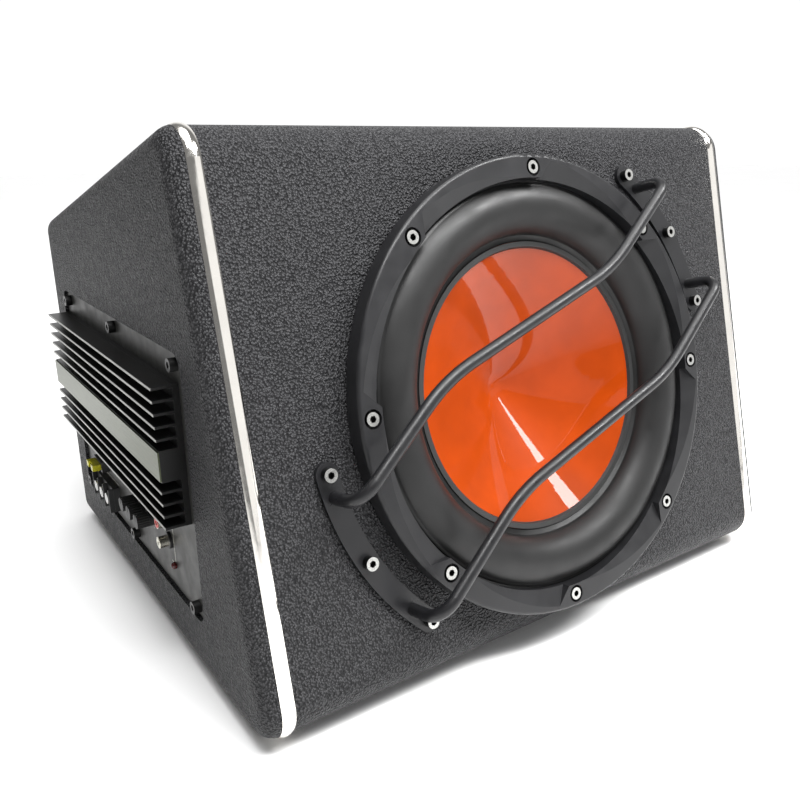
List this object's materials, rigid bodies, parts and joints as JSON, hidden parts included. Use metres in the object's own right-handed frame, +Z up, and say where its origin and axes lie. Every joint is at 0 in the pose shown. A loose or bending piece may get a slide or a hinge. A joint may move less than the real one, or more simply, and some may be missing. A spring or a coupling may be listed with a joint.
{
  "type": "powered car subwoofer",
  "caption": "Wedge-shaped powered car subwoofer box with a guarded twelve-inch woofer on its leaning front and a finned amplifier let into its left side.",
  "frame": {"origin": "on the floor, under the middle of the whole outline (heatsink and guard bars included)", "axes": "+X to the box's right as it is faced, +Y to the back, +Z up"},
  "size_m": [0.4906, 0.4363, 0.3522],
  "materials": {
    "mdf_board": "raw board",
    "leatherette": "pebble grain, low sheen",
    "chrome_strip": "mirror bright",
    "foot_rubber": "matt",
    "steel_screw": "plain",
    "cap_screw_steel": "blackened, worn bright on top",
    "guard_screw_steel": "blackened, worn bright on top",
    "black_screw_steel": "blackened",
    "foam_gasket": "matt foam",
    "frame_black": "satin powder coat",
    "surround_rubber": "satin",
    "rim_black": "satin",
    "cone_orange": "high gloss",
    "spider_cloth": "woven, corrugated",
    "former": "plain",
    "copper_wire": "enamelled wire",
    "plated_steel": "zinc plated",
    "ferrite": "matt ceramic",
    "phenolic": "matt",
    "guard_black": "satin black",
    "amp_black": "satin black",
    "heatsink_black": "black anodised, bright fin tips",
    "badge": "brushed, blank",
    "rca_metal": "nickel",
    "white_insulator": "gloss",
    "red_insulator": "gloss",
    "control_black": "matt",
    "fuse_yellow": "translucent yellow",
    "led_lens": "unlit lens",
    "board_green": "solder mask",
    "standoff_brass": "plain",
    "capacitor_sleeve": "shrink sleeve",
    "chip_black": "moulded"
  },
  "bodies": {
    "cabinet": {"front_baffle": "mdf_board", "top_panel": "mdf_board", "bottom_panel": "mdf_board", "back_panel": "mdf_board", "left_side_panel": "mdf_board", "right_side_panel": "mdf_board", "centre_wrap": "leatherette", "left_side_wrap": "leatherette", "right_side_wrap": "leatherette", "left_trim": "chrome_strip", "right_trim": "chrome_strip", "front_left_foot": "foot_rubber", "back_left_foot": "foot_rubber", "front_right_foot": "foot_rubber", "back_right_foot": "foot_rubber", "foot_screws": "steel_screw", "woofer_gasket": "foam_gasket", "woofer_frame": "frame_black", "woofer_screws": "cap_screw_steel", "surround": "surround_rubber", "spider": "spider_cloth", "top_plate": "plated_steel", "magnet": "ferrite", "pole_and_back_plate": "plated_steel", "woofer_terminals": "phenolic", "upper_right_bracket": "guard_black", "lower_left_bracket": "guard_black", "upper_guard_bar": "guard_black", "lower_guard_bar": "guard_black", "bracket_screws": "guard_screw_steel", "amp_gasket": "foam_gasket", "amp_plate": "amp_black", "heatsink": "heatsink_black", "nameplate": "badge", "amp_screws": "black_screw_steel", "rca_shells": "rca_metal", "rca_bases": "control_black", "rca_insulator_white": "white_insulator", "rca_insulator_red": "red_insulator", "potentiometers": "control_black", "power_terminal_block": "control_black", "terminal_screws": "steel_screw", "fuse_holder": "control_black", "blade_fuse": "fuse_yellow", "status_led": "led_lens", "circuit_board": "board_green", "board_standoffs": "standoff_brass", "filter_capacitors": "capacitor_sleeve", "toroid_inductor": "copper_wire", "power_transistors": "chip_black", "amp_back_cover": "amp_black"},
    "cone_assembly": {"cone": "cone_orange", "cone_rim": "rim_black", "voice_coil_former": "former", "voice_coil": "copper_wire"},
    "level_control": {"level_knob": "control_black"},
    "crossover_control": {"crossover_knob": "control_black"},
    "bass_boost_control": {"bass_boost_knob": "control_black"}
  },
  "joints": [
    {"name": "cone_travel", "type": "slide", "parent": "cabinet", "child": "cone_assembly", "axis": [0, -0.9703, 0.2419], "range_m": [-0.009, 0.009], "stiffness_N_per_m": 9000, "deforming": ["surround", "spider"]},
    {"name": "level_turn", "type": "hinge", "parent": "cabinet", "child": "level_control", "pos_m": [-0.2325, -0.004, 0.0825], "axis": [-1, 0, 0], "range_deg": [-150, 150]},
    {"name": "crossover_turn", "type": "hinge", "parent": "cabinet", "child": "crossover_control", "pos_m": [-0.2325, 0.014, 0.0825], "axis": [-1, 0, 0], "range_deg": [-150, 150]},
    {"name": "bass_boost_turn", "type": "hinge", "parent": "cabinet", "child": "bass_boost_control", "pos_m": [-0.2325, 0.032, 0.0825], "axis": [-1, 0, 0], "range_deg": [-150, 150]}
  ]
}
